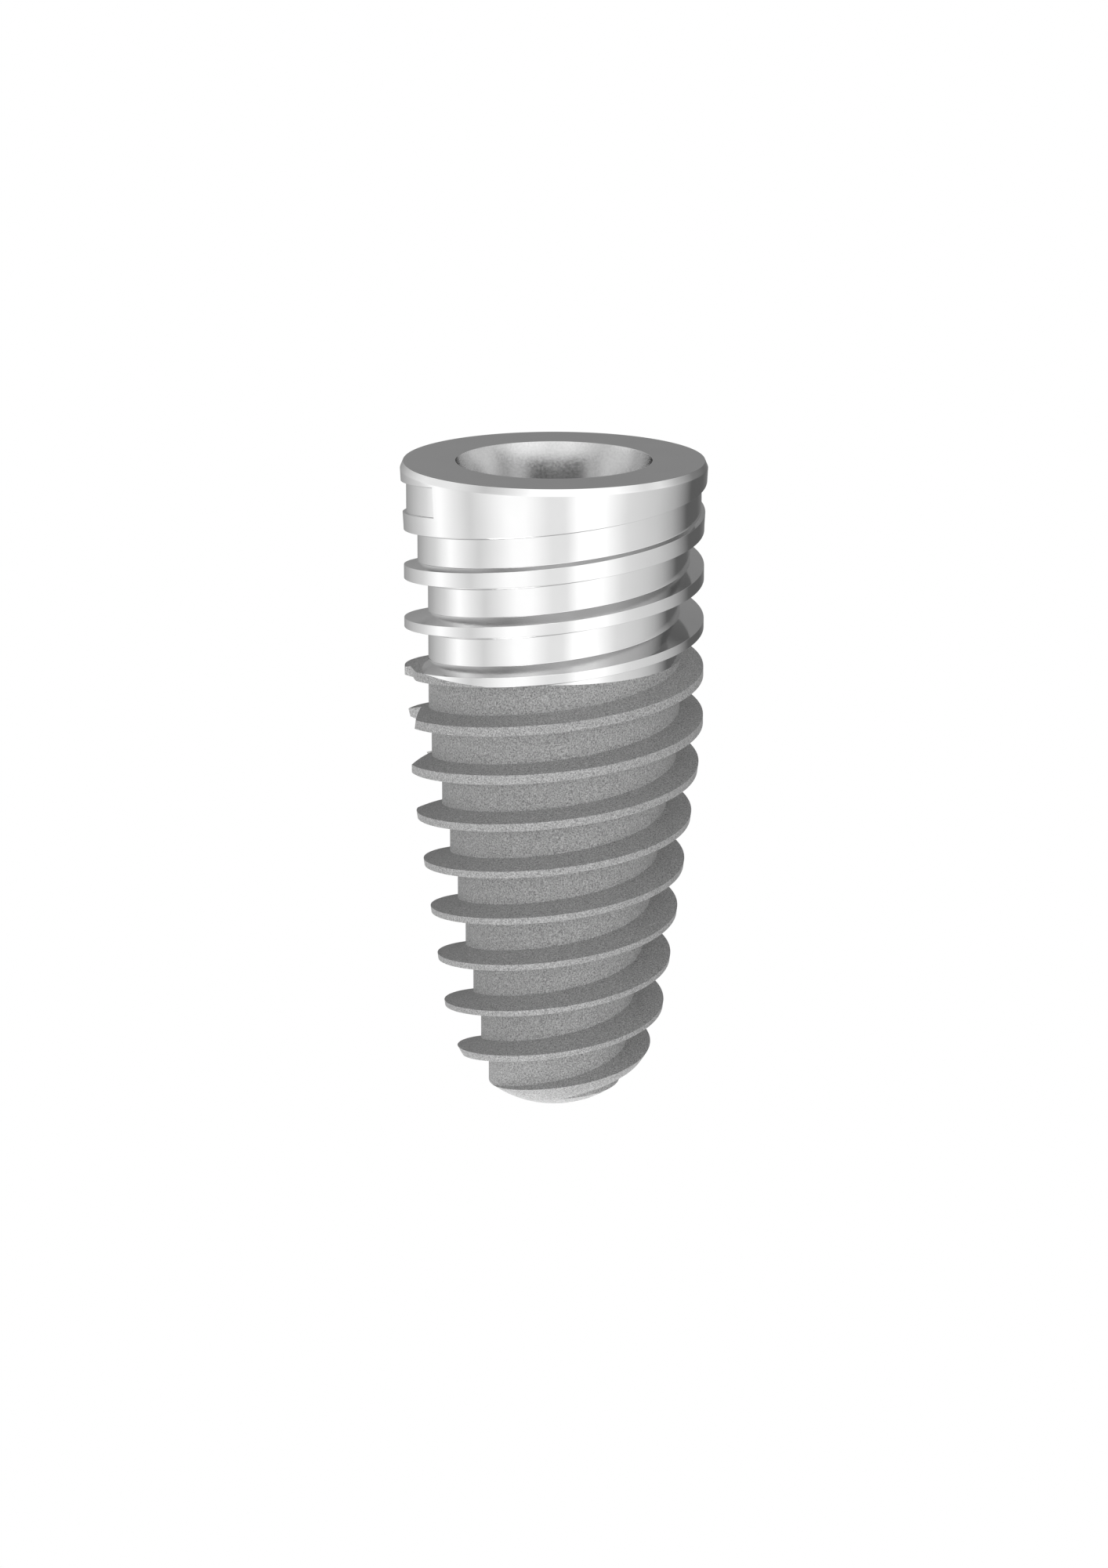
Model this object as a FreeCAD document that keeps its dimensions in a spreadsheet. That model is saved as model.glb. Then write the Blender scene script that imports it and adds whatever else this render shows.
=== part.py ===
# Tapered dental implant, 4.5 mm across the thread and 10 mm long: one turned and
# milled titanium piece with a two-start thread whose groove deepens from nothing
# under the collar, a rounded tip, a cutting flute across five of the lands, and a
# bore with a conical seat, a hexagon socket and the tapped hole of the abutment screw.
#
# Frame: the platform, on which the abutment seats, is the plane z = 0 and faces -Z.
# The origin is its centre, and +Z runs along the axis to the tip, the way the
# implant is driven into the bone. So the implant stands on its platform.
import FreeCAD, Part
import Sketcher
import math
import os

# Driving dimensions in millimetres and degrees
SIZES = [
    ("overall_length", 10.0, "platform to the end of the rounded tip"),
    ("platform_diameter", 4.512, "flat ring on which the implant stands"),
    ("collar_diameter", 4.60, "widest place, above the platform chamfer"),
    ("chamfer_height", 0.105, "height of the platform chamfer"),
    ("collar_height", 1.016, "height at which the collar has narrowed to the thread"),
    ("crest_diameter", 4.50, "thread over its lands, in the parallel part"),
    ("taper_start", 4.176, "height at which the lands begin to taper"),
    ("crest_taper_angle", 7.72, "half angle of the cone over the lands"),
    ("thread_pitch", 0.7432, "axial distance from one land to the next, half the lead"),
    ("thread_start_height", 0.143, "height at which both grooves begin in the collar"),
    ("thread_start_azimuth", -38.9, "azimuth of the first groove's beginning"),
    ("land_width", 0.140, "width of a land in the parallel part"),
    ("near_flank_angle", 14.0, "slope of the flank that faces the tip"),
    ("far_flank_angle", 15.6, "slope of the flank that faces the platform"),
    ("bottom_narrowing", 0.09, "width that a groove's bottom loses per extra depth"),
    ("run_in_depth", 0.055, "depth of both grooves where they begin in the collar"),
    ("core_diameter", 3.784, "groove bottom in the parallel part"),
    ("core_full_height", 1.730, "height at which the grooves reach the core"),
    ("core_parallel_end", 3.803, "height at which the core stops being parallel"),
    ("core_shoulder_height", 4.762, "height at which the core begins its even taper"),
    ("core_shoulder_diameter", 3.390, "core at the beginning of its even taper"),
    ("core_taper_angle", 8.83, "half angle of the core's taper"),
    ("flute_middle_height", 5.50, "height at which the flute is deepest"),
    ("flute_corner_radius", 1.850, "distance of the flute's corner from the axis there"),
    ("flute_cutter_radius", 9.0, "radius of the disc cutter that sinks the flute"),
    ("flute_azimuth", 34.0, "azimuth of the flute's corner at its middle"),
    ("flute_lead", 20.0, "height in which the flute would make one turn"),
    ("flute_face_angle", 38.0, "angle between the flute's steep face and the radius"),
    ("seat_mouth_diameter", 2.944, "mouth of the conical seat, in the platform"),
    ("seat_cone_angle", 8.0, "half angle of the conical seat"),
    ("seat_depth", 1.70, "depth of the conical seat"),
    ("socket_across_flats", 2.0, "hexagon socket for the driver"),
    ("socket_depth", 3.0, "depth of the hexagon socket from the platform"),
    ("lead_in_diameter", 1.90, "chamfer at the mouth of the tapped hole"),
    ("tap_drill_diameter", 1.45, "bore of the tapped hole, before its fine thread"),
    ("tap_drill_depth", 6.1, "depth of the full bore from the platform"),
    ("drill_point_angle", 59.0, "half angle of the bore's pointed end"),
]
THREAD_STARTS = 2
DEGREES_PER_POINT = 15.0
OVERCUT = 0.05
FLUTE_REACH = 1.5
FLUTE_STEPS = 6

doc = FreeCAD.newDocument("dental_implant")
sheet = doc.addObject("Spreadsheet::Sheet", "Sizes")
for row, (alias, value, meaning) in enumerate(SIZES, start=1):
    sheet.set("A%d" % row, alias)
    sheet.set("B%d" % row, str(value))
    sheet.set("C%d" % row, meaning)
    sheet.setAlias("B%d" % row, alias)
doc.recompute()


def size(alias):
    """Value of one driving dimension."""
    return float(sheet.get(alias))


def slope(alias):
    """Rise per unit of an angle in the sheet."""
    return math.tan(math.radians(size(alias)))


def interpolate(x, knots):
    """Value at x on straight runs between (x, value) knots, held past both ends."""
    if x <= knots[0][0]:
        return knots[0][1]
    for (x0, v0), (x1, v1) in zip(knots, knots[1:]):
        if x <= x1:
            return v0 + (v1 - v0) * (x - x0) / (x1 - x0)
    return knots[-1][1]


# Outline of the turned blank

def blank_radius(height):
    """Radius over the collar and the lands, with the taper carried on to the tip."""
    crest = size("crest_diameter") / 2
    if height > size("taper_start"):
        return crest - slope("crest_taper_angle") * (height - size("taper_start"))
    outline = [
        (size("chamfer_height"), size("collar_diameter") / 2),
        (size("collar_height"), crest),
    ]
    return interpolate(height, outline)


def tip_radius():
    """Radius of the ball end that ends the length and is tangent to the taper."""
    taper = slope("crest_taper_angle")
    radius_at_end = blank_radius(size("overall_length"))
    return radius_at_end / (math.hypot(1, taper) - taper)


def plane_of(body, role):
    """Origin plane or axis of a body, by its role."""
    for feature in body.Origin.OriginFeatures:
        if feature.Role == role:
            return feature
    raise ValueError(role)


def add_sketch(body, name, role):
    """Empty sketch on one of the body's own origin planes."""
    sketch = body.newObject("Sketcher::SketchObject", name)
    sketch.AttachmentSupport = [(plane_of(body, role), "")]
    sketch.MapMode = "FlatFace"
    return sketch


def draw_closed_lines(sketch, points):
    """Closed outline of straight lines through points, joined end to end."""
    following = points[1:] + points[:1]
    for (x0, y0), (x1, y1) in zip(points, following):
        start = FreeCAD.Vector(x0, y0, 0)
        end = FreeCAD.Vector(x1, y1, 0)
        sketch.addGeometry(Part.LineSegment(start, end), False)
    for index in range(len(points)):
        following_index = (index + 1) % len(points)
        sketch.addConstraint(Sketcher.Constraint("Coincident", index, 2, following_index, 1))


def place_point(sketch, geometry, end, across, along):
    """Bind one line end's distance from the axis and its height to the sheet."""
    for kind, formula in (("DistanceX", across), ("DistanceY", along)):
        current = sketch.getPoint(geometry, end)
        value = current.x if kind == "DistanceX" else current.y
        if formula == "0":
            on_axis = -2 if kind == "DistanceX" else -1
            sketch.addConstraint(Sketcher.Constraint("PointOnObject", geometry, end, on_axis))
            continue
        index = sketch.addConstraint(Sketcher.Constraint(kind, -1, 1, geometry, end, value))
        sketch.setExpression("Constraints[%d]" % index, formula)


def draw_blank(sketch):
    """Half section of the blank: ring, chamfer, flare, parallel part, cone, ball end."""
    crest = size("crest_diameter") / 2
    length = size("overall_length")
    ball = tip_radius()
    taper = math.radians(size("crest_taper_angle"))
    ball_height = length - ball
    touch = (ball * math.cos(taper), ball_height + ball * math.sin(taper))
    outline = [
        (0, 0),
        (size("platform_diameter") / 2, 0),
        (size("collar_diameter") / 2, size("chamfer_height")),
        (crest, size("collar_height")),
        (crest, size("taper_start")),
        touch,
    ]
    for (x0, y0), (x1, y1) in zip(outline, outline[1:]):
        start = FreeCAD.Vector(x0, y0, 0)
        end = FreeCAD.Vector(x1, y1, 0)
        sketch.addGeometry(Part.LineSegment(start, end), False)
    cone = len(outline) - 2
    circle = Part.Circle(FreeCAD.Vector(0, ball_height, 0), FreeCAD.Vector(0, 0, 1), ball)
    sketch.addGeometry(Part.ArcOfCircle(circle, taper, math.pi / 2), False)
    arc = cone + 1
    top = FreeCAD.Vector(0, length, 0)
    sketch.addGeometry(Part.LineSegment(top, FreeCAD.Vector(0, 0, 0)), False)
    axis_line = arc + 1
    for index in range(cone):
        sketch.addConstraint(Sketcher.Constraint("Coincident", index, 2, index + 1, 1))
    sketch.addConstraint(Sketcher.Constraint("Tangent", cone, 2, arc, 1))
    sketch.addConstraint(Sketcher.Constraint("Coincident", arc, 2, axis_line, 1))
    sketch.addConstraint(Sketcher.Constraint("Coincident", axis_line, 2, 0, 1))
    sketch.addConstraint(Sketcher.Constraint("PointOnObject", arc, 3, -2))
    place_point(sketch, 0, 1, "0", "0")
    place_point(sketch, 0, 2, "Sizes.platform_diameter / 2", "0")
    place_point(sketch, 1, 2, "Sizes.collar_diameter / 2", "Sizes.chamfer_height")
    place_point(sketch, 2, 2, "Sizes.crest_diameter / 2", "Sizes.collar_height")
    place_point(sketch, 3, 2, "Sizes.crest_diameter / 2", "Sizes.taper_start")
    place_point(sketch, arc, 2, "0", "Sizes.overall_length")
    lean = sketch.addConstraint(Sketcher.Constraint("Angle", cone, math.pi / 2 + taper))
    sketch.setExpression("Constraints[%d]" % lean, "(90 + Sizes.crest_taper_angle) * 1 deg")


def draw_bore(sketch):
    """Half section of the bore: conical seat, lead-in, tap drill and drill point."""
    cone_end = size("seat_mouth_diameter") / 2 - slope("seat_cone_angle") * size("seat_depth")
    lead_in = size("lead_in_diameter") / 2
    drill = size("tap_drill_diameter") / 2
    lead_in_end = size("socket_depth") + lead_in - drill
    point_end = size("tap_drill_depth") + drill / slope("drill_point_angle")
    cone_formula = "Sizes.seat_mouth_diameter / 2 - tan(Sizes.seat_cone_angle * 1 deg) * Sizes.seat_depth"
    lead_in_formula = "Sizes.socket_depth + Sizes.lead_in_diameter / 2 - Sizes.tap_drill_diameter / 2"
    point_formula = (
        "Sizes.tap_drill_depth + Sizes.tap_drill_diameter / 2 / tan(Sizes.drill_point_angle * 1 deg)"
    )
    corners = [
        (0, 0, "0", "0"),
        (size("seat_mouth_diameter") / 2, 0, "Sizes.seat_mouth_diameter / 2", "0"),
        (cone_end, size("seat_depth"), cone_formula, "Sizes.seat_depth"),
        (lead_in, size("seat_depth"), "Sizes.lead_in_diameter / 2", "Sizes.seat_depth"),
        (lead_in, size("socket_depth"), "Sizes.lead_in_diameter / 2", "Sizes.socket_depth"),
        (drill, lead_in_end, "Sizes.tap_drill_diameter / 2", lead_in_formula),
        (drill, size("tap_drill_depth"), "Sizes.tap_drill_diameter / 2", "Sizes.tap_drill_depth"),
        (0, point_end, "0", point_formula),
    ]
    draw_closed_lines(sketch, [(across, along) for across, along, _, _ in corners])
    for index, (_, _, across_formula, along_formula) in enumerate(corners):
        place_point(sketch, index, 1, across_formula, along_formula)


def draw_socket(sketch):
    """Hexagon of the driver socket, with two corners on the X axis."""
    corner_radius = size("socket_across_flats") / math.sqrt(3)
    points = []
    for index in range(6):
        turn = math.radians(60 * index)
        points.append((corner_radius * math.cos(turn), corner_radius * math.sin(turn)))
    draw_closed_lines(sketch, points)
    circle = Part.Circle(FreeCAD.Vector(0, 0, 0), FreeCAD.Vector(0, 0, 1), corner_radius)
    round_index = sketch.addGeometry(circle, True)
    sketch.addConstraint(Sketcher.Constraint("Coincident", round_index, 3, -1, 1))
    for index in range(6):
        sketch.addConstraint(Sketcher.Constraint("PointOnObject", index, 1, round_index))
    for index in range(1, 6):
        sketch.addConstraint(Sketcher.Constraint("Equal", 0, index))
    sketch.addConstraint(Sketcher.Constraint("PointOnObject", 0, 1, -1))
    width = sketch.addConstraint(Sketcher.Constraint("Radius", round_index, corner_radius))
    sketch.setExpression("Constraints[%d]" % width, "Sizes.socket_across_flats / sqrt(3)")


def make_blank():
    """Turned blank with its bore and socket, before the thread is cut."""
    body = doc.addObject("PartDesign::Body", "Blank")
    outline = add_sketch(body, "BlankOutline", "XZ_Plane")
    draw_blank(outline)
    turned = body.newObject("PartDesign::Revolution", "TurnedBlank")
    turned.Profile = outline
    turned.ReferenceAxis = (outline, ["V_Axis"])
    turned.Angle = 360
    doc.recompute()
    volume_before = turned.Shape.Volume

    section = add_sketch(body, "BoreOutline", "XZ_Plane")
    draw_bore(section)
    bored = body.newObject("PartDesign::Groove", "SeatAndTapDrill")
    bored.Profile = section
    bored.ReferenceAxis = (section, ["V_Axis"])
    bored.Angle = 360
    doc.recompute()
    if bored.Shape.Volume >= volume_before:
        raise RuntimeError("the bore cut nothing")
    volume_before = bored.Shape.Volume

    hexagon = add_sketch(body, "SocketOutline", "XY_Plane")
    draw_socket(hexagon)
    socket = body.newObject("PartDesign::Pocket", "HexSocket")
    socket.Profile = hexagon
    socket.Reversed = True
    socket.setExpression("Length", "Sizes.socket_depth")
    doc.recompute()
    if socket.Shape.Volume >= volume_before:
        raise RuntimeError("the hexagon socket cut nothing")
    return body


# Thread groove: a trapezoid that follows a helix and deepens with it

def root_radius(height):
    """Radius of the groove's bottom where its near edge is at this height."""
    shoulder = size("core_shoulder_height")
    if height > shoulder:
        taper = slope("core_taper_angle") * (height - shoulder)
        return size("core_shoulder_diameter") / 2 - taper
    start = size("thread_start_height")
    knots = [
        (start, blank_radius(start) - size("run_in_depth")),
        (size("core_full_height"), size("core_diameter") / 2),
        (size("core_parallel_end"), size("core_diameter") / 2),
        (shoulder, size("core_shoulder_diameter") / 2),
    ]
    return interpolate(height, knots)


def root_width(depth):
    """Flat width of the groove's bottom: what lands and flanks leave of the pitch."""
    full_depth = (size("crest_diameter") - size("core_diameter")) / 2
    flanks = (slope("near_flank_angle") + slope("far_flank_angle")) * full_depth
    narrowing = size("bottom_narrowing") * (depth - full_depth)
    return size("thread_pitch") - size("land_width") - flanks - narrowing


def groove_corners(height):
    """Outer near, root near, root far and outer far corner, as radius and height."""
    near = slope("near_flank_angle")
    far = slope("far_flank_angle")
    root = root_radius(height)
    depth = blank_radius(height) - root
    near_root = height + near * depth
    far_root = near_root + root_width(depth)
    outer_near = blank_radius(height) + OVERCUT
    outer_far = max(blank_radius(far_root), root) + OVERCUT
    return [
        (outer_near, near_root - near * (outer_near - root)),
        (root, near_root),
        (root, far_root),
        (outer_far, far_root + far * (outer_far - root)),
    ]


def point_at(azimuth, radius, height):
    """Point in space from cylindrical coordinates."""
    turn = math.radians(azimuth)
    return FreeCAD.Vector(radius * math.cos(turn), radius * math.sin(turn), height)


def ruled_solid(runs):
    """Closed solid of ruled faces between smooth edges that join each run's sections."""
    faces = []
    for places, sections in runs:
        edges = []
        for corner in range(len(sections[0])):
            curve = Part.BSplineCurve()
            track = [section[corner] for section in sections]
            curve.interpolate(Points=track, Parameters=places)
            edges.append(curve.toShape())
        for first, second in zip(edges, edges[1:] + edges[:1]):
            faces.append(Part.makeRuledSurface(first, second))
    first_section = runs[0][1][0]
    last_section = runs[-1][1][-1]
    for section in (first_section, last_section):
        faces.append(Part.Face(Part.makePolygon(section + section[:1])))
    shell = Part.makeShell(faces)
    shell.sewShape()
    solid = Part.makeSolid(shell)
    if solid.Volume < 0:
        solid.reverse()
    return solid


def groove_cutter(start_azimuth):
    """One whole groove, from its blunt beginning in the collar to past the tip."""
    lead = THREAD_STARTS * size("thread_pitch")
    start = size("thread_start_height")
    bends = [
        size("collar_height"),
        size("core_full_height"),
        size("core_parallel_end"),
        size("taper_start"),
        size("core_shoulder_height"),
    ]
    end = size("overall_length") + OVERCUT
    bounds = [start] + sorted(bends) + [end]
    runs = []
    for low, high in zip(bounds, bounds[1:]):
        half_turns = math.ceil((high - low) / (lead / 2))
        for index in range(half_turns):
            run_start = low + (high - low) * index / half_turns
            run_height = (high - low) / half_turns
            steps = max(3, math.ceil(360 * run_height / lead / DEGREES_PER_POINT))
            azimuths = []
            sections = []
            for step in range(steps + 1):
                height = run_start + run_height * step / steps
                azimuth = start_azimuth + 360 * (height - start) / lead
                corners = groove_corners(height)
                azimuths.append(azimuth)
                sections.append([point_at(azimuth, radius, level) for radius, level in corners])
            runs.append((azimuths, sections))
    return ruled_solid(runs)


# Flute: a spiral notch with a steep face and a floor square to the radius

def flute_section(height):
    """Corner of the flute at one height, and the outer ends of its floor and face."""
    offset = height - size("flute_middle_height")
    cutter = size("flute_cutter_radius")
    corner = size("flute_corner_radius") + cutter - math.sqrt(cutter ** 2 - offset ** 2)
    azimuth = size("flute_azimuth") + 360 * offset / size("flute_lead")
    outside = FLUTE_REACH * corner
    floor_turn = math.degrees(math.acos(1 / FLUTE_REACH))
    foot = point_at(azimuth, corner, height)
    face = math.radians(size("flute_face_angle"))
    along_radius = point_at(azimuth, math.cos(face), 0)
    across_radius = point_at(azimuth + 90, math.sin(face), 0)
    face_end = foot + (along_radius + across_radius) * (outside - corner)
    return [foot, point_at(azimuth - floor_turn, outside, height), face_end]


def flute_cutter():
    """The flute as two runs, from each end to its deepest place in the middle."""
    cutter = size("flute_cutter_radius")
    sink = size("crest_diameter") / 2 + 2 * OVERCUT - size("flute_corner_radius")
    reach = math.sqrt(cutter ** 2 - (cutter - sink) ** 2)
    middle = size("flute_middle_height")
    runs = []
    for low in (middle - reach, middle):
        heights = [low + reach * step / FLUTE_STEPS for step in range(FLUTE_STEPS + 1)]
        runs.append((heights, [flute_section(height) for height in heights]))
    return ruled_solid(runs)


def add_shape(name, shape):
    """Document object that holds a shape built from the sheet's values."""
    holder = doc.addObject("Part::Feature", name)
    holder.Shape = shape
    return holder


def cut(name, base, tool):
    """Boolean cut of one object from another, whose faces stay split where they meet."""
    result = doc.addObject("Part::Cut", name)
    result.Base = base
    result.Tool = tool
    result.Refine = False
    doc.recompute()
    if result.Shape.isNull() or result.Shape.Volume >= base.Shape.Volume:
        raise RuntimeError(name + " cut nothing")
    return result


implant = make_blank()
for start_index in range(THREAD_STARTS):
    azimuth = size("thread_start_azimuth") + 360 * start_index / THREAD_STARTS
    groove = add_shape("Groove%d" % (start_index + 1), groove_cutter(azimuth))
    implant = cut("Threaded%d" % (start_index + 1), implant, groove)
implant = cut("Fluted", implant, add_shape("Flute", flute_cutter()))
implant.Label = "implant_body"

# Nothing is written unless every object is sound
SUB_PARTS = [implant]
doc.recompute()
for item in doc.Objects:
    if "Invalid" in item.State or "Error" in item.State:
        raise RuntimeError("failed object: " + item.Name)
for item in SUB_PARTS:
    if item.Shape.isNull() or not item.Shape.isValid() or len(item.Shape.Solids) != 1:
        raise RuntimeError("unsound shape: " + item.Label)
os.makedirs("parts", exist_ok=True)
for item in SUB_PARTS:
    item.Shape.exportStep("parts/" + item.Label + ".step")
    print(item.Label, "volume", round(item.Shape.Volume, 4), "faces", len(item.Shape.Faces))
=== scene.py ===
import math

import bmesh
import bpy
from mathutils import Matrix, Vector


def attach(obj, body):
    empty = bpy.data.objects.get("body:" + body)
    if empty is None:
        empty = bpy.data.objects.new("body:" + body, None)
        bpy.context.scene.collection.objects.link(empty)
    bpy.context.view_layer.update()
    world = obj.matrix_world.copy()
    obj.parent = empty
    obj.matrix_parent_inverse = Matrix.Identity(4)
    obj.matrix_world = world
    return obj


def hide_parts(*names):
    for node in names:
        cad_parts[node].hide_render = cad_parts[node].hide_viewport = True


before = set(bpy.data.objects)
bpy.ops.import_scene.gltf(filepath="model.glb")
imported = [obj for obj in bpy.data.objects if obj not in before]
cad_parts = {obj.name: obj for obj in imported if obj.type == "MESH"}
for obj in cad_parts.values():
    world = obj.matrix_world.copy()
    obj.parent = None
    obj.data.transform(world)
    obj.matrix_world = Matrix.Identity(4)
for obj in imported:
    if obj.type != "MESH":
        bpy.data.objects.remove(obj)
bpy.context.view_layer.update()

MM = 0.001

# Turned blank, in millimetres and radians
LENGTH = 10.0
PLATFORM_RADIUS = 2.256
COLLAR_RADIUS = 2.30
CHAMFER_HEIGHT = 0.105
COLLAR_HEIGHT = 1.016
CREST_RADIUS = 2.25
TAPER_START = 4.176
TAPER = math.radians(7.72)
COLLAR_KNOTS = [(CHAMFER_HEIGHT, COLLAR_RADIUS), (COLLAR_HEIGHT, CREST_RADIUS)]
RIM_BREAK = 0.004

# Two-start thread
PITCH = 0.7432
STARTS = 2
THREAD_START = 0.143
START_AZIMUTH = -38.9
LAND_WIDTH = 0.140
NEAR_SLOPE = math.tan(math.radians(14.0))
FAR_SLOPE = math.tan(math.radians(15.6))
BOTTOM_NARROWING = 0.09
ROOT_KNOTS = [(THREAD_START, 2.243), (1.730, 1.892), (3.803, 1.892), (4.762, 1.695)]
CORE_SLOPE = math.tan(math.radians(8.83))
EDGE_BREAK = 0.003
ROOT_FILLET = 0.006
BREAK_SHARE = 0.35
FILLET_SHARE_OF_FLANK = 0.4
FILLET_SHARE_OF_ROOT = 0.3

# Flute
FLUTE_HEIGHT = 5.50
FLUTE_CORNER_RADIUS = 1.850
FLUTE_CUTTER_RADIUS = 9.0
FLUTE_AZIMUTH = 34.0
FLUTE_LEAD = 20.0
FLUTE_FACE_ANGLE = math.radians(38.0)
FLUTE_REACH = 2.9
FLUTE_OUTSIDE = 1.4

# Bore: conical seat, hexagon socket, tapped hole. Nothing of it below the seat lies
# farther out than the last radius
MOUTH_RADIUS = 1.472
TWIST_DEPTH = 1.5
SEAT_SLOPE = math.tan(math.radians(8.0))
SEAT_DEPTH = 1.70
HEXAGON_APOTHEM = 1.0
SOCKET_DEPTH = 3.0
LEAD_IN_RADIUS = 0.95
TAP_RADIUS = 0.725
TAP_END = 6.1
TAP_PITCH = 0.35
TAP_THREAD_DEPTH = 0.16
DRILL_POINT = math.radians(59.0)
BELOW_SEAT_RADIUS = HEXAGON_APOTHEM * 1.2

# Finish: the machined part ends and the blasted part begins here
MACHINED_SLOT, BLASTED_SLOT, BORE_SLOT = range(3)
BLASTED_FROM = 3.01
BORE_FROM = 0.001
BORE_END = 6.7

# Mesh density: columns round the axis, and points along each stretch of a profile
COLUMNS = 180
STEP = 360 / COLUMNS
HALF = COLUMNS // STARTS
CORNER_STEPS = 2
FLANK_STEPS = 2
ROOT_STEPS = 6
LAND_STEPS = 4
PLATFORM_STEPS = 6
CHAMFER_STEPS = 4
TIP_STEPS = 8
SEAT_STEPS = 10
LEDGE_STEPS = 2
SOCKET_STEPS = 4
SOCKET_FLOOR_STEPS = 3
LEAD_IN_STEPS = 2
TAP_STEPS_PER_TURN = 8
DRILL_POINT_STEPS = 4
FLUTE_STEPS = 76
FLUTE_STRIPS = 12

# Tolerances of the mesh, the searches of its solver, and the edges that stay sharp
WELD = 0.00008
CUT_TOLERANCE = 0.00001
NO_LENGTH = 1e-9
HALVINGS = 45
SEARCH_BELOW = 0.5
NEAR_SEARCH_ABOVE = 1.2
FAR_SEARCH_ABOVE = 2.5
RUN_OUT_SEARCH = (8.8, LENGTH)
SHARP_ANGLE = math.radians(14)
FACE_AREA_WEIGHT = 80


def blend(a, b, share):
    """Value between two numbers."""
    return a + (b - a) * share


def piecewise(x, knots):
    """Value at x on straight runs between (x, value) knots, held past both ends."""
    if x <= knots[0][0]:
        return knots[0][1]
    for (x0, v0), (x1, v1) in zip(knots, knots[1:]):
        if x <= x1:
            return blend(v0, v1, (x - x0) / (x1 - x0))
    return knots[-1][1]


def solve(function, low, high):
    """Root of a rising function between low and high."""
    for _ in range(HALVINGS):
        middle = (low + high) / 2
        if function(middle) < 0:
            low = middle
        else:
            high = middle
    return (low + high) / 2


# Blank: a level is a height up to where the ball end begins, then a length along the ball

def cone_radius(height):
    """Radius over the lands, with the taper carried on to the tip."""
    if height > TAPER_START:
        return CREST_RADIUS - math.tan(TAPER) * (height - TAPER_START)
    return piecewise(height, COLLAR_KNOTS)


BALL_RADIUS = cone_radius(LENGTH) * math.cos(TAPER) / (1 - math.sin(TAPER))
BALL_HEIGHT = LENGTH - BALL_RADIUS
TOUCH = BALL_HEIGHT + BALL_RADIUS * math.sin(TAPER)
APEX = TOUCH + BALL_RADIUS * (math.pi / 2 - TAPER)


def blank_point(level):
    """Radius and height of the blank's surface at a level."""
    if level <= TOUCH:
        return cone_radius(level), level
    turn = TAPER + (level - TOUCH) / BALL_RADIUS
    return BALL_RADIUS * math.cos(turn), BALL_HEIGHT + BALL_RADIUS * math.sin(turn)


# Thread groove: its section at the height where its near edge would meet the cone

def root_radius(height):
    """Radius of the groove's bottom."""
    shoulder, shoulder_radius = ROOT_KNOTS[-1]
    if height > shoulder:
        return shoulder_radius - CORE_SLOPE * (height - shoulder)
    return piecewise(height, ROOT_KNOTS)


def root_width(height):
    """Flat width of the groove's bottom, which narrows where the groove is deeper."""
    full_depth = CREST_RADIUS - ROOT_KNOTS[1][1]
    depth = cone_radius(height) - root_radius(height)
    flanks = (NEAR_SLOPE + FAR_SLOPE) * full_depth
    return PITCH - LAND_WIDTH - flanks - BOTTOM_NARROWING * (depth - full_depth)


def near_root_height(height):
    """Height of the corner between the near flank and the groove's bottom."""
    return height + NEAR_SLOPE * (cone_radius(height) - root_radius(height))


def near_level(height):
    """Level at which the near flank comes out of the blank."""
    root = root_radius(height)
    corner = near_root_height(height)

    def above_flank(level):
        radius, at = blank_point(level)
        return at + NEAR_SLOPE * (radius - root) - corner

    return solve(above_flank, height - SEARCH_BELOW, height + NEAR_SEARCH_ABOVE)


def groove_depth(height):
    """Depth of the groove at its near corner, negative past the run-out."""
    return blank_point(near_level(height))[0] - root_radius(height)


RUN_OUT = solve(lambda height: -groove_depth(height), *RUN_OUT_SEARCH)
RUN_OUT_LEVEL = near_level(RUN_OUT)


def edge_level(height):
    """Level of the land beside the groove's near edge, carried on past the run-out."""
    if height >= RUN_OUT:
        return RUN_OUT_LEVEL + height - RUN_OUT
    return near_level(height) - min(EDGE_BREAK, BREAK_SHARE * groove_depth(height))


def toward(start, end, distance):
    """Point at a distance from start on the way to end."""
    length = math.dist(start, end)
    if length < NO_LENGTH:
        return start
    share = distance / length
    return (blend(start[0], end[0], share), blend(start[1], end[1], share))


def straight(start, end, count):
    """Points from start towards end, without the end."""
    length = math.dist(start, end)
    return [toward(start, end, length * index / count) for index in range(count)]


def rounded(start, corner, end, count):
    """Points on a round corner from start towards end, without the end."""
    points = []
    for index in range(count):
        share = index / count
        first = [blend(a, b, share) for a, b in zip(start, corner)]
        second = [blend(a, b, share) for a, b in zip(corner, end)]
        points.append(tuple(blend(a, b, share) for a, b in zip(first, second)))
    return points


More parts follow.
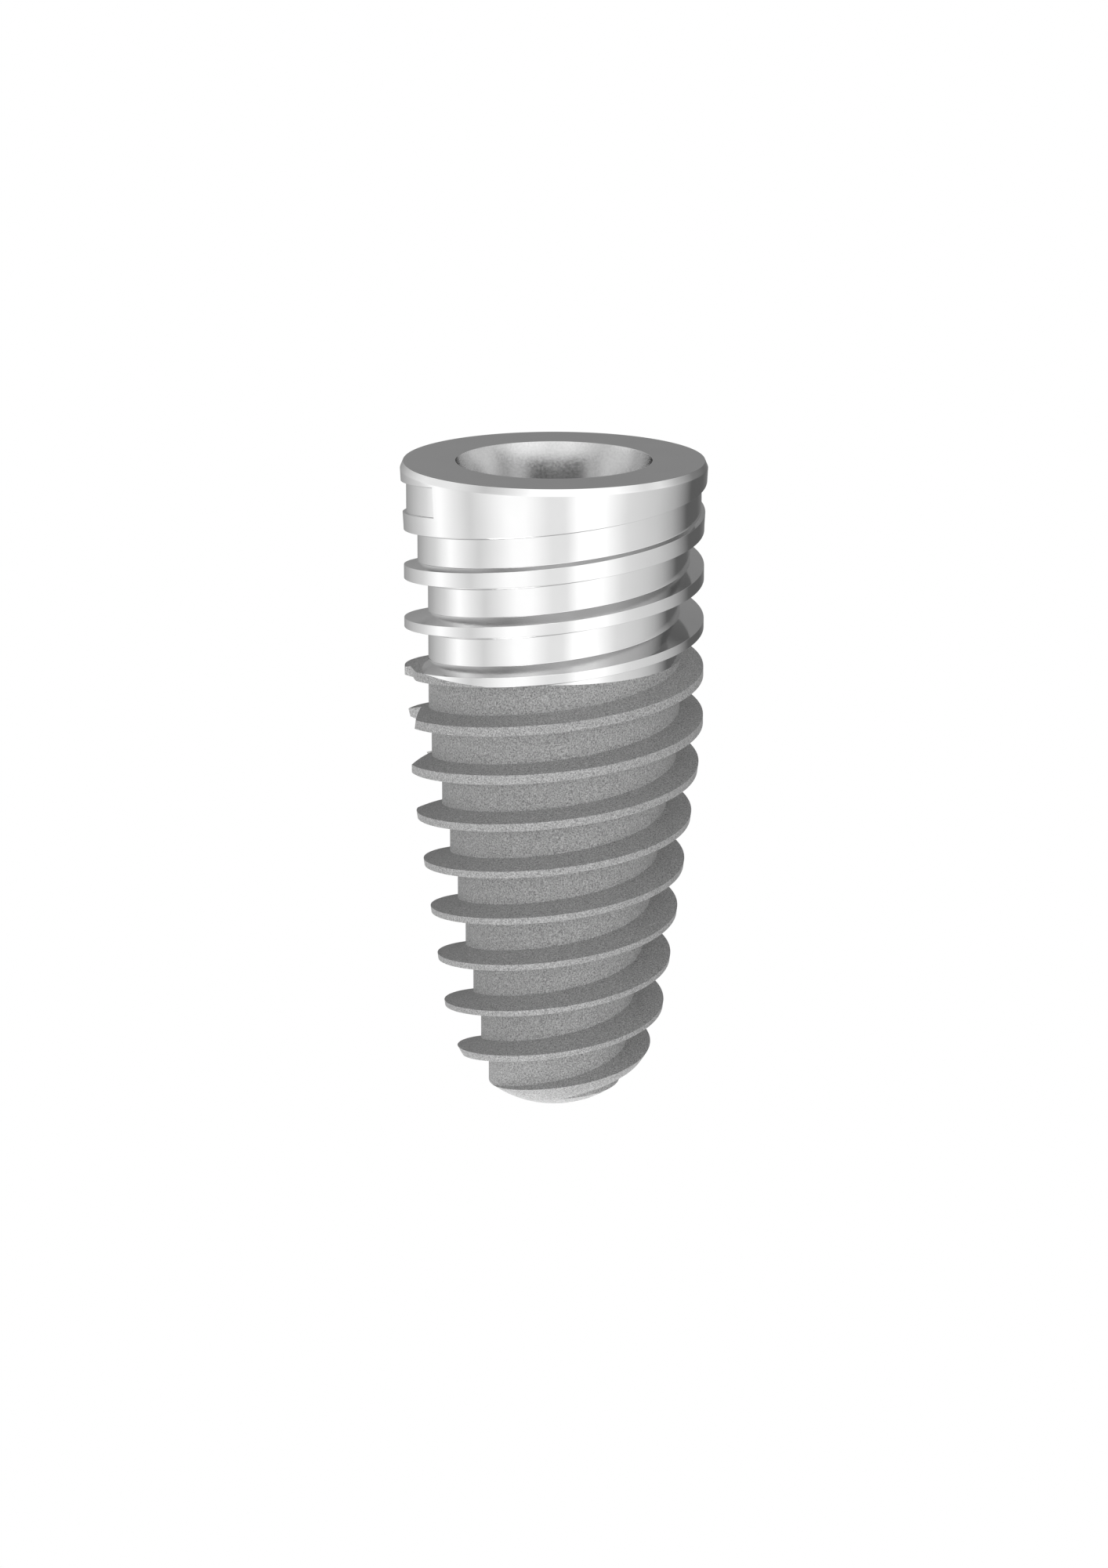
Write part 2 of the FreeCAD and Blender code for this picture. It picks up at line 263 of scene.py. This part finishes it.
def groove_section(height):
    """Points from one near edge across the groove and the land to the next near edge."""
    begin = edge_level(height)
    end = edge_level(height + PITCH)
    if height >= RUN_OUT:
        return [blank_point(blend(begin, end, share)) for share in RUN_OUT_SHARES]
    root = root_radius(height)
    near_outer = blank_point(near_level(height))
    near_root = (root, near_root_height(height))
    far_height = near_root[1] + root_width(height)
    ball_level = TOUCH + BALL_RADIUS * (math.acos(min(1, root / BALL_RADIUS)) - TAPER)

    def above_far_flank(level):
        radius, at = blank_point(level)
        return at - FAR_SLOPE * (radius - root) - far_height

    highest = min(height + FAR_SEARCH_ABOVE, APEX)
    far_level = solve(above_far_flank, height - SEARCH_BELOW, highest)
    if blank_point(far_level)[0] <= root:
        far_level = ball_level
        far_height = blank_point(ball_level)[1]
    far_root = (root, far_height)
    far_outer = blank_point(far_level)

    near_length = math.dist(near_outer, near_root)
    far_length = math.dist(far_outer, far_root)
    root_length = math.dist(near_root, far_root)
    near_break = min(EDGE_BREAK, BREAK_SHARE * groove_depth(height))
    far_break = min(EDGE_BREAK, BREAK_SHARE * far_length)
    fillet = min(ROOT_FILLET, FILLET_SHARE_OF_ROOT * root_length)
    near_fillet = min(fillet, FILLET_SHARE_OF_FLANK * near_length)
    far_fillet = min(fillet, FILLET_SHARE_OF_FLANK * far_length)

    first = blank_point(begin)
    after_edge = toward(near_outer, near_root, near_break)
    before_near = toward(near_root, near_outer, near_fillet)
    after_near = toward(near_root, far_root, near_fillet)
    before_far = toward(far_root, near_root, far_fillet)
    after_far = toward(far_root, far_outer, far_fillet)
    before_land = toward(far_outer, far_root, far_break)
    on_land = blank_point(far_level + far_break)

    points = rounded(first, near_outer, after_edge, CORNER_STEPS)
    points += straight(after_edge, before_near, FLANK_STEPS)
    points += rounded(before_near, near_root, after_near, CORNER_STEPS)
    points += straight(after_near, before_far, ROOT_STEPS)
    points += rounded(before_far, far_root, after_far, CORNER_STEPS)
    points += straight(after_far, before_land, FLANK_STEPS)
    points += rounded(before_land, far_outer, on_land, CORNER_STEPS)
    for step in range(LAND_STEPS + 1):
        level = blend(far_level + far_break, end, step / LAND_STEPS)
        points.append(blank_point(level))
    return points


# Surface patches: grids of points that weld along their shared edges

def in_space(azimuth, point):
    """Point in metres from its azimuth and its radius and height in millimetres."""
    turn = math.radians(azimuth)
    radius, height = point
    return Vector((radius * math.cos(turn), radius * math.sin(turn), height)) * MM


def add_grid(mesh, columns):
    """Quads between columns that have as many points each."""
    rows = [[mesh.verts.new(point) for point in column] for column in columns]
    for left, right in zip(rows, rows[1:]):
        for index in range(len(left) - 1):
            mesh.faces.new((left[index], right[index], right[index + 1], left[index + 1]))


def thread_height(column):
    """Height of a groove's near edge after so many columns."""
    return THREAD_START + PITCH * column / HALF


LAST_COLUMN = math.ceil((RUN_OUT - THREAD_START) / PITCH * HALF) + 1


def run_out_shares():
    """Shares of its way over the ball at which the last groove has its points."""
    section = groove_section(thread_height(LAST_COLUMN - 2))
    turns = [math.atan2(height - BALL_HEIGHT, radius) for radius, height in section]
    return [(turn - turns[0]) / (turns[-1] - turns[0]) for turn in turns]


RUN_OUT_SHARES = run_out_shares()


def add_thread(mesh):
    """Both grooves with their lands, and the collar and tip wedges beside them."""
    heights = [thread_height(column) for column in range(LAST_COLUMN + 1)]
    sections = [groove_section(height) for height in heights]
    belt = edge_level(THREAD_START)
    first_top = edge_level(THREAD_START + PITCH)
    shares = [(point[1] - belt) / (first_top - belt) for point in sections[0]]
    ring = edge_level(thread_height(LAST_COLUMN) + PITCH)
    for start in range(STARTS):
        azimuth = START_AZIMUTH + 360 * start / STARTS
        strip = []
        for column, section in enumerate(sections):
            turn = azimuth + STEP * column
            strip.append([in_space(turn, point) for point in section])
        add_grid(mesh, strip)

        collar = []
        for column in range(HALF + 1):
            edge = edge_level(thread_height(column))
            levels = [blend(belt, edge, share) for share in shares]
            turn = azimuth + STEP * column
            collar.append([in_space(turn, blank_point(level)) for level in levels])
        add_grid(mesh, collar)

        next_turn = azimuth + 360 / STARTS
        blunt_end = [in_space(next_turn, point) for point in sections[0]]
        add_grid(mesh, [collar[-1], blunt_end])

        tip = []
        for column in range(LAST_COLUMN - HALF, LAST_COLUMN + 1):
            edge = edge_level(thread_height(column) + PITCH)
            turn = azimuth + STEP * column
            levels = [blend(edge, ring, share) for share in RUN_OUT_SHARES]
            tip.append([in_space(turn, blank_point(level)) for level in levels])
        add_grid(mesh, tip)


def add_turned(mesh, profile, twist=0.0):
    """Surface turned from a profile, or from a function of the azimuth that gives one."""
    columns = []
    for column in range(COLUMNS + 1):
        azimuth = START_AZIMUTH + STEP * column
        points = profile(azimuth) if callable(profile) else profile
        columns.append([in_space(azimuth + twist, point) for point in points])
    add_grid(mesh, columns)


def platform_profile():
    """From the bore's mouth over the platform and its chamfer to the first groove."""
    platform_edge = (PLATFORM_RADIUS, 0)
    collar_edge = (COLLAR_RADIUS, CHAMFER_HEIGHT)
    belt = blank_point(edge_level(THREAD_START))
    before_edge = toward(platform_edge, (MOUTH_RADIUS, 0), RIM_BREAK)
    after_edge = toward(platform_edge, collar_edge, RIM_BREAK)
    before_collar = toward(collar_edge, platform_edge, RIM_BREAK)
    after_collar = toward(collar_edge, belt, RIM_BREAK)
    points = straight((MOUTH_RADIUS + RIM_BREAK, 0), before_edge, PLATFORM_STEPS)
    points += rounded(before_edge, platform_edge, after_edge, CORNER_STEPS)
    points += straight(after_edge, before_collar, CHAMFER_STEPS)
    points += rounded(before_collar, collar_edge, after_collar, CORNER_STEPS)
    return points + [after_collar, belt]


def tip_profile():
    """The ball end above the run-out of both grooves."""
    ring = edge_level(thread_height(LAST_COLUMN) + PITCH)
    levels = [blend(ring, APEX, step / TIP_STEPS) for step in range(TIP_STEPS)]
    return [blank_point(level) for level in levels] + [(0, LENGTH)]


# The hexagon's corners fall on columns once the bore's are turned by this much
BORE_TWIST = STEP * math.ceil(START_AZIMUTH / STEP) - START_AZIMUTH


def seat_profile():
    """The broken edge between the platform and the seat."""
    mouth = (MOUTH_RADIUS, 0)
    on_seat = (MOUTH_RADIUS - SEAT_SLOPE * RIM_BREAK, RIM_BREAK)
    on_platform = (MOUTH_RADIUS + RIM_BREAK, 0)
    return rounded(on_platform, mouth, on_seat, CORNER_STEPS) + [on_seat]


def hexagon_radius(azimuth):
    """Distance from the axis to the socket's wall."""
    turn = math.radians(azimuth % 60 - 30)
    return HEXAGON_APOTHEM / math.cos(turn)


def tap_radius(azimuth, height):
    """Wall of the tapped hole, with a thread that fades at both ends."""
    top = SOCKET_DEPTH + LEAD_IN_RADIUS - TAP_RADIUS
    fade = min(1, (height - top) / TAP_PITCH, (TAP_END - height) / TAP_PITCH)
    phase = (height / TAP_PITCH - azimuth / 360) % 1
    return TAP_RADIUS + TAP_THREAD_DEPTH * max(0, fade) * (1 - abs(2 * phase - 1))


def bore_profile(azimuth):
    """From the seat through the socket and the tapped hole to the drill point."""
    azimuth += BORE_TWIST
    wall = hexagon_radius(azimuth)
    seat_end = min(SEAT_DEPTH, (MOUTH_RADIUS - wall) / SEAT_SLOPE)
    seat_radius = MOUTH_RADIUS - SEAT_SLOPE * seat_end
    tap_top = SOCKET_DEPTH + LEAD_IN_RADIUS - TAP_RADIUS
    on_seat = (MOUTH_RADIUS - SEAT_SLOPE * RIM_BREAK, RIM_BREAK)
    lead_in = (LEAD_IN_RADIUS, SOCKET_DEPTH)
    points = straight(on_seat, (seat_radius, seat_end), SEAT_STEPS)
    points += straight((seat_radius, seat_end), (wall, seat_end), LEDGE_STEPS)
    points += straight((wall, seat_end), (wall, SOCKET_DEPTH), SOCKET_STEPS)
    points += straight((wall, SOCKET_DEPTH), lead_in, SOCKET_FLOOR_STEPS)
    points += straight(lead_in, (TAP_RADIUS, tap_top), LEAD_IN_STEPS)
    rows = round((TAP_END - tap_top) / TAP_PITCH * TAP_STEPS_PER_TURN)
    for row in range(rows):
        height = blend(tap_top, TAP_END, row / rows)
        points.append((tap_radius(azimuth, height), height))
    point = (0, TAP_END + TAP_RADIUS / math.tan(DRILL_POINT))
    return points + straight((TAP_RADIUS, TAP_END), point, DRILL_POINT_STEPS) + [point]


def add_bore(mesh):
    """The bore, whose columns turn a little between its mouth and the socket."""
    add_turned(mesh, seat_profile())
    columns = []
    for column in range(COLUMNS + 1):
        azimuth = START_AZIMUTH + STEP * column
        points = []
        for point in bore_profile(azimuth):
            turned = BORE_TWIST * min(1, (point[1] - RIM_BREAK) / TWIST_DEPTH)
            points.append(in_space(azimuth + turned, point))
        columns.append(points)
    add_grid(mesh, columns)


def flute_section(height):
    """Outline of the flute at one height, from its corner along its floor and back."""
    offset = height - FLUTE_HEIGHT
    cutter_axis = FLUTE_CORNER_RADIUS + FLUTE_CUTTER_RADIUS
    corner = cutter_axis - math.sqrt(FLUTE_CUTTER_RADIUS ** 2 - offset ** 2)
    azimuth = FLUTE_AZIMUTH + 360 * offset / FLUTE_LEAD
    outside = FLUTE_OUTSIDE * corner
    floor_turn = math.degrees(math.acos(corner / outside))
    foot = in_space(azimuth, (corner, height))
    radial = in_space(azimuth, (1, 0))
    sideways = in_space(azimuth + 90, (1, 0))
    lean = radial * math.cos(FLUTE_FACE_ANGLE) + sideways * math.sin(FLUTE_FACE_ANGLE)
    floor_end = in_space(azimuth - floor_turn, (outside, height))
    face_end = foot + lean * (outside - corner)
    shares = [step / FLUTE_STRIPS for step in range(FLUTE_STRIPS + 1)]
    floor = [foot.lerp(floor_end, share) for share in shares[1:]]
    face = [face_end.lerp(foot, share) for share in shares[:-1]]
    return [foot] + floor + face


def add_flute(mesh):
    """Closed body that the flute's cutter takes away."""
    rings = []
    for step in range(FLUTE_STEPS + 1):
        height = FLUTE_HEIGHT + FLUTE_REACH * (2 * step / FLUTE_STEPS - 1)
        rings.append([mesh.verts.new(point) for point in flute_section(height)])
    for low, high in zip(rings, rings[1:]):
        for index in range(len(low)):
            following = (index + 1) % len(low)
            mesh.faces.new((low[index], low[following], high[following], high[index]))
    mesh.faces.new(rings[0])
    mesh.faces.new(rings[-1])
    bmesh.ops.recalc_face_normals(mesh, faces=mesh.faces)


def new_object(name, fill):
    """Mesh object whose surface a function fills in."""
    mesh = bmesh.new()
    fill(mesh)
    data = bpy.data.meshes.new(name)
    mesh.to_mesh(data)
    mesh.free()
    thing = bpy.data.objects.new(name, data)
    bpy.context.scene.collection.objects.link(thing)
    return thing


def fill_implant(mesh):
    """The whole closed surface of the implant before its flute is cut."""
    add_thread(mesh)
    add_turned(mesh, platform_profile())
    add_turned(mesh, tip_profile())
    add_bore(mesh)
    bmesh.ops.remove_doubles(mesh, verts=mesh.verts, dist=WELD * MM)
    bmesh.ops.dissolve_degenerate(mesh, edges=mesh.edges, dist=WELD * MM)
    bmesh.ops.recalc_face_normals(mesh, faces=mesh.faces)


def apply_modifiers(thing):
    """Mesh with its modifiers worked in, and none left on the object."""
    graph = bpy.context.evaluated_depsgraph_get()
    data = bpy.data.meshes.new_from_object(thing.evaluated_get(graph))
    thing.modifiers.clear()
    thing.data = data


def finish_at(place):
    """Material slot at a place: collar and upper threads, blasted body or bore."""
    outward = math.hypot(place.x, place.y) / MM
    height = place.z / MM
    wall = MOUTH_RADIUS if height < SEAT_DEPTH else BELOW_SEAT_RADIUS
    if outward < wall and BORE_FROM < height < BORE_END:
        return BORE_SLOT
    return BLASTED_SLOT if height > BLASTED_FROM else MACHINED_SLOT


def split_finishes(thing):
    """Cuts the surface at the end of the machined part and gives each side its slot."""
    mesh = bmesh.new()
    mesh.from_mesh(thing.data)
    bmesh.ops.bisect_plane(
        mesh,
        geom=list(mesh.verts) + list(mesh.edges) + list(mesh.faces),
        plane_co=Vector((0, 0, BLASTED_FROM * MM)),
        plane_no=(0, 0, 1),
        dist=CUT_TOLERANCE * MM,
    )
    many_sided = [face for face in mesh.faces if len(face.verts) > 4]
    bmesh.ops.triangulate(mesh, faces=many_sided)
    for face in mesh.faces:
        face.material_index = finish_at(face.calc_center_median())
        face.smooth = True
    mesh.to_mesh(thing.data)
    mesh.free()


def make_implant():
    """Visual surface of the implant, on the CAD solid's sizes."""
    implant = new_object("implant", fill_implant)
    implant.data.materials.append(machined_titanium())
    implant.data.materials.append(blasted_titanium())
    implant.data.materials.append(bore_titanium())
    flute = new_object("flute_cutter", add_flute)
    cut = implant.modifiers.new("flute", "BOOLEAN")
    cut.operation = "DIFFERENCE"
    cut.solver = "EXACT"
    cut.object = flute
    apply_modifiers(implant)
    bpy.data.objects.remove(flute)
    split_finishes(implant)
    implant.data.set_sharp_from_angle(angle=SHARP_ANGLE)
    weighted = implant.modifiers.new("weighted", "WEIGHTED_NORMAL")
    weighted.keep_sharp = True
    weighted.weight = FACE_AREA_WEIGHT
    apply_modifiers(implant)
    return implant


# Materials: scales of their noise, and what it moves, from its dark to its light places

NOISE_RANGE = (0.3, 0.7)

MACHINED_RINGS = (400, 400, 90000)
MACHINED_CLOUDS = (1500, 1500, 1500)
MACHINED_TONES = (0.78, 0.81)
MACHINED_ROUGHNESS = (0.09, 0.12)
MACHINED_BUMP = 0.0000003
MACHINED_BUMP_STRENGTH = 0.4

BORE_GRAIN = (28000, 28000, 28000)
BORE_TONES = (0.60, 0.70)
BORE_ROUGHNESS = (0.13, 0.18)
BORE_BUMP = 0.0000008
BORE_BUMP_STRENGTH = 0.3

BLASTED_METALLIC = 0.3
BLASTED_GRAIN = (48000, 48000, 48000)
BLASTED_PITS = (26000, 26000, 26000)
BLASTED_TONES = (0.20, 0.62)
BLASTED_ROUGHNESS = (0.66, 0.78)
BLASTED_BUMP = 0.000006
COARSE_BUMP_STRENGTH = 0.4
FINE_BUMP_STRENGTH = 0.7
GRAIN_ROUGHNESS = 0.6


def new_material(name):
    """Material with its nodes, and its main shader."""
    material = bpy.data.materials.new(name)
    material.use_nodes = True
    return material, material.node_tree, material.node_tree.nodes["Principled BSDF"]


def stretched_coordinates(tree, scales):
    """Object coordinates times a scale along each axis."""
    where = tree.nodes.new("ShaderNodeTexCoord")
    mapping = tree.nodes.new("ShaderNodeMapping")
    mapping.inputs["Scale"].default_value = scales
    tree.links.new(where.outputs["Object"], mapping.inputs["Vector"])
    return mapping.outputs["Vector"]


def noise(tree, vector, detail, roughness=0.5):
    """Noise over stretched coordinates."""
    node = tree.nodes.new("ShaderNodeTexNoise")
    node.inputs["Scale"].default_value = 1.0
    node.inputs["Detail"].default_value = detail
    node.inputs["Roughness"].default_value = roughness
    tree.links.new(vector, node.inputs["Vector"])
    return node.outputs["Fac"]


def remap(tree, value, limits):
    """A noise value carried to the range between two limits."""
    node = tree.nodes.new("ShaderNodeMapRange")
    node.inputs["From Min"].default_value = NOISE_RANGE[0]
    node.inputs["From Max"].default_value = NOISE_RANGE[1]
    node.inputs["To Min"].default_value = limits[0]
    node.inputs["To Max"].default_value = limits[1]
    tree.links.new(value, node.inputs["Value"])
    return node.outputs["Result"]


def bump(tree, height, distance, strength, before=None):
    """Bump of a height map, on top of another bump if one is given."""
    node = tree.nodes.new("ShaderNodeBump")
    node.inputs["Distance"].default_value = distance
    node.inputs["Strength"].default_value = strength
    tree.links.new(height, node.inputs["Height"])
    if before is not None:
        tree.links.new(before, node.inputs["Normal"])
    return node.outputs["Normal"]


def grey(tree, value):
    """Neutral colour of a value."""
    node = tree.nodes.new("ShaderNodeCombineColor")
    for channel in ("Red", "Green", "Blue"):
        tree.links.new(value, node.inputs[channel])
    return node.outputs["Color"]


def machined_titanium():
    """Bright turned metal with the faintest of rings and cloudy patches."""
    material, tree, shader = new_material("machined_titanium")
    shader.inputs["Metallic"].default_value = 1.0
    rings = noise(tree, stretched_coordinates(tree, MACHINED_RINGS), 2)
    clouds = noise(tree, stretched_coordinates(tree, MACHINED_CLOUDS), 3)
    tone = grey(tree, remap(tree, clouds, MACHINED_TONES))
    tree.links.new(tone, shader.inputs["Base Color"])
    tree.links.new(remap(tree, rings, MACHINED_ROUGHNESS), shader.inputs["Roughness"])
    rippled = bump(tree, rings, MACHINED_BUMP, MACHINED_BUMP_STRENGTH)
    tree.links.new(rippled, shader.inputs["Normal"])
    return material


def bore_titanium():
    """Milled metal inside the bore, duller than the collar and finely grained."""
    material, tree, shader = new_material("bore_titanium")
    shader.inputs["Metallic"].default_value = 1.0
    grain = noise(tree, stretched_coordinates(tree, BORE_GRAIN), 2, GRAIN_ROUGHNESS)
    tone = grey(tree, remap(tree, grain, BORE_TONES))
    tree.links.new(tone, shader.inputs["Base Color"])
    tree.links.new(remap(tree, grain, BORE_ROUGHNESS), shader.inputs["Roughness"])
    rippled = bump(tree, grain, BORE_BUMP, BORE_BUMP_STRENGTH)
    tree.links.new(rippled, shader.inputs["Normal"])
    return material


def blasted_titanium():
    """Matt grey metal, pitted by grit, with a fine light and dark grain."""
    material, tree, shader = new_material("blasted_titanium")
    shader.inputs["Metallic"].default_value = BLASTED_METALLIC
    grain = noise(tree, stretched_coordinates(tree, BLASTED_GRAIN), 2, GRAIN_ROUGHNESS)
    pits = noise(tree, stretched_coordinates(tree, BLASTED_PITS), 1)
    tone = grey(tree, remap(tree, grain, BLASTED_TONES))
    tree.links.new(tone, shader.inputs["Base Color"])
    tree.links.new(remap(tree, pits, BLASTED_ROUGHNESS), shader.inputs["Roughness"])
    coarse = bump(tree, pits, BLASTED_BUMP, COARSE_BUMP_STRENGTH)
    fine = bump(tree, grain, BLASTED_BUMP, FINE_BUMP_STRENGTH, coarse)
    tree.links.new(fine, shader.inputs["Normal"])
    return material


FLOOR_COLOUR = (0.93, 0.93, 0.93, 1)
FLOOR_ROUGHNESS = 0.9


def floor_material():
    """Pale floor that shows from above only."""
    material, tree, shader = new_material("pale_floor")
    shader.inputs["Base Color"].default_value = FLOOR_COLOUR
    shader.inputs["Roughness"].default_value = FLOOR_ROUGHNESS
    shader.inputs["Specular IOR Level"].default_value = 0.0
    clear = tree.nodes.new("ShaderNodeBsdfTransparent")
    side = tree.nodes.new("ShaderNodeNewGeometry")
    mix = tree.nodes.new("ShaderNodeMixShader")
    tree.links.new(side.outputs["Backfacing"], mix.inputs["Fac"])
    tree.links.new(shader.outputs["BSDF"], mix.inputs[1])
    tree.links.new(clear.outputs["BSDF"], mix.inputs[2])
    tree.links.new(mix.outputs["Shader"], tree.nodes["Material Output"].inputs["Surface"])
    return material


# Studio: levels and sizes of its parts, the floor's gap in millimetres

FLOOR_GAP = 0.02
FLOOR_SIZE = 1.2
STUDIO_LEVEL = 1.25

# Brightness round the object at the height of the lens, by degrees from the camera's
# side, positive towards the picture's right
SURROUND = [
    (-180, 0.20),
    (-150, 0.38),
    (-120, 0.64),
    (-98, 1.04),
    (-82, 0.80),
    (-67, 0.62),
    (-53, 0.78),
    (-36, 1.00),
    (-22, 1.00),
    (-4, 0.76),
    (8, 0.76),
    (19, 1.08),
    (36, 1.08),
    (58, 0.70),
    (86, 0.56),
    (104, 0.40),
    (126, 0.10),
    (150, 0.10),
    (180, 0.20),
]

# The same round the object's lower side, which the platform and its chamfer mirror
LOWER_SURROUND = [
    (-180, 0.20),
    (-150, 0.45),
    (-115, 0.80),
    (-85, 0.80),
    (-57, 0.56),
    (-43, 0.68),
    (-17, 1.05),
    (50, 1.05),
    (75, 0.72),
    (90, 0.78),
    (107, 0.44),
    (128, 0.20),
    (180, 0.20),
]

# The same far below, which the flanks of the bright thread mirror by way of its core
DEEP_SURROUND = [
    (-180, 0.22),
    (-140, 0.10),
    (-60, 0.12),
    (-20, 0.30),
    (0, 0.42),
    (46, 0.42),
    (118, 0.15),
    (180, 0.22),
]

# The zone overhead, and a narrow bright strip in it behind the object
OVERHEAD = 0.42
OVERHEAD_STRIP = 3.6

# Where these pass into each other, by parts of the direction that a ray goes in
DEEP_SLANT = 0.25
DEEP_BELOW = (-0.52, -0.38)
LOWER_BELOW = (-0.22, 0.10)
OVERHEAD_ABOVE = (0.32, 0.65)
STRIP_BEHIND = (-0.60, -0.10)
STRIP_HALF_WIDTH = (0.16, 0.36)


def math_node(tree, operation, first, second=None):
    """Math node on sockets or plain numbers."""
    node = tree.nodes.new("ShaderNodeMath")
    node.operation = operation
    for index, value in enumerate((first, second)):
        if value is None:
            continue
        if isinstance(value, (int, float)):
            node.inputs[index].default_value = value
        else:
            tree.links.new(value, node.inputs[index])
    return node.outputs["Value"]


def share_between(tree, value, limits):
    """Smooth share of a value's way from one limit to the other."""
    node = tree.nodes.new("ShaderNodeMapRange")
    node.interpolation_type = "SMOOTHSTEP"
    node.inputs["From Min"].default_value = limits[0]
    node.inputs["From Max"].default_value = limits[1]
    tree.links.new(value, node.inputs["Value"])
    return node.outputs["Result"]


def mix_values(tree, share, low, high):
    """Value between low and high, either of them a socket or a number."""
    node = tree.nodes.new("ShaderNodeMix")
    tree.links.new(share, node.inputs["Factor"])
    for name, value in (("A", low), ("B", high)):
        if isinstance(value, (int, float)):
            node.inputs[name].default_value = value
        else:
            tree.links.new(value, node.inputs[name])
    return node.outputs["Result"]


def ring_of_light(tree, position, levels):
    """Brightness round the object, by a position that runs from its back to its back."""
    ramp = tree.nodes.new("ShaderNodeValToRGB")
    tree.links.new(position, ramp.inputs["Fac"])
    stops = ramp.color_ramp.elements
    while len(stops) < len(levels):
        stops.new(0.5)
    for stop, (degrees, level) in zip(stops, levels):
        stop.position = degrees / 360 + 0.5
        stop.color = (level, level, level, 1)
    return ramp.outputs["Color"]


def make_world():
    """Soft surround that the metal mirrors, and plain white for the camera."""
    world = bpy.data.worlds.new("studio")
    bpy.context.scene.world = world
    world.use_nodes = True
    tree = world.node_tree
    where = tree.nodes.new("ShaderNodeTexCoord")
    split = tree.nodes.new("ShaderNodeSeparateXYZ")
    tree.links.new(where.outputs["Generated"], split.inputs["Vector"])
    rise = split.outputs["Z"]
    right = math_node(tree, "MULTIPLY", split.outputs["X"], -1)
    front = math_node(tree, "MULTIPLY", split.outputs["Y"], -1)
    azimuth = math_node(tree, "ARCTAN2", right, front)
    position = math_node(tree, "MULTIPLY_ADD", azimuth, 1 / (2 * math.pi))
    position.node.inputs[2].default_value = 0.5
    level_ring = ring_of_light(tree, position, SURROUND)
    lower_ring = ring_of_light(tree, position, LOWER_SURROUND)
    deep_ring = ring_of_light(tree, position, DEEP_SURROUND)
    slant = math_node(tree, "MULTIPLY_ADD", front, DEEP_SLANT)
    tree.links.new(rise, slant.node.inputs[2])
    not_deep = share_between(tree, slant, DEEP_BELOW)
    beneath = mix_values(tree, not_deep, deep_ring, lower_ring)
    not_lower = share_between(tree, rise, LOWER_BELOW)
    around = mix_values(tree, not_lower, beneath, level_ring)
    sideways = math_node(tree, "ABSOLUTE", split.outputs["X"])
    beside_strip = share_between(tree, sideways, STRIP_HALF_WIDTH)
    strip = mix_values(tree, beside_strip, OVERHEAD_STRIP, OVERHEAD)
    before_strip = share_between(tree, front, STRIP_BEHIND)
    overhead = mix_values(tree, before_strip, strip, OVERHEAD)
    above = share_between(tree, rise, OVERHEAD_ABOVE)
    level = mix_values(tree, above, around, overhead)
    strength = math_node(tree, "MULTIPLY", level, STUDIO_LEVEL)
    rays = tree.nodes.new("ShaderNodeLightPath")
    seen = mix_values(tree, rays.outputs["Is Camera Ray"], strength, 1.0)
    tree.links.new(seen, tree.nodes["Background"].inputs["Strength"])
    tree.nodes["Background"].inputs["Color"].default_value = (1, 1, 1, 1)


def make_floor():
    """Pale floor just under the platform, which only cameras above it can see."""
    bpy.ops.mesh.primitive_plane_add(size=FLOOR_SIZE, location=(0, 0, -FLOOR_GAP * MM))
    floor = bpy.context.object
    floor.name = "floor"
    floor.data.materials.append(floor_material())
    floor.visible_diffuse = False
    floor.visible_glossy = False
    floor.visible_transmission = False
    floor.visible_shadow = False


LAMP_SIZE = 0.14
LAMP_POWER = 0.12
LAMP_PLACE = (0.05, -0.05, 0.16)


def make_lamp():
    """Large soft lamp overhead, which helps the studio to give the floor its shadow."""
    data = bpy.data.lights.new("overhead", "AREA")
    data.shape = "DISK"
    data.size = LAMP_SIZE
    data.energy = LAMP_POWER
    lamp = bpy.data.objects.new("overhead", data)
    lamp.location = LAMP_PLACE
    lamp.rotation_euler = (-lamp.location).to_track_quat("-Z", "Y").to_euler()
    bpy.context.scene.collection.objects.link(lamp)


# Camera: fitted to the photograph, whose up is the implant's way to the platform
SENSOR = 36
PHOTO_HEIGHT = 2001
FOCAL_PIXELS = 6546
CAMERA_DISTANCE = 77.78
CAMERA_DROP = math.radians(14.54)
CLIP = (0.001, 10)


def make_camera():
    """Camera below the floor's plane that looks up at the implant's middle."""
    data = bpy.data.cameras.new("camera")
    data.sensor_width = SENSOR
    data.lens = SENSOR * FOCAL_PIXELS / PHOTO_HEIGHT
    data.clip_start, data.clip_end = CLIP
    camera = bpy.data.objects.new("camera", data)
    bpy.context.scene.collection.objects.link(camera)
    target = Vector((0, 0, LENGTH / 2)) * MM
    away = Vector((0, -math.cos(CAMERA_DROP), -math.sin(CAMERA_DROP)))
    place = target + away * CAMERA_DISTANCE * MM
    right = (-away).cross(Vector((0, 0, -1))).normalized()
    up = away.cross(right)
    axes = Matrix((right, up, away)).transposed().to_4x4()
    camera.matrix_world = Matrix.Translation(place) @ axes
    bpy.context.scene.camera = camera


implant = make_implant()
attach(implant, "root")
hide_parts("implant_body")
make_world()
make_floor()
make_lamp()
make_camera()
bpy.context.scene.view_settings.view_transform = "Standard"

print("triangles", sum(len(face.vertices) - 2 for face in implant.data.polygons))
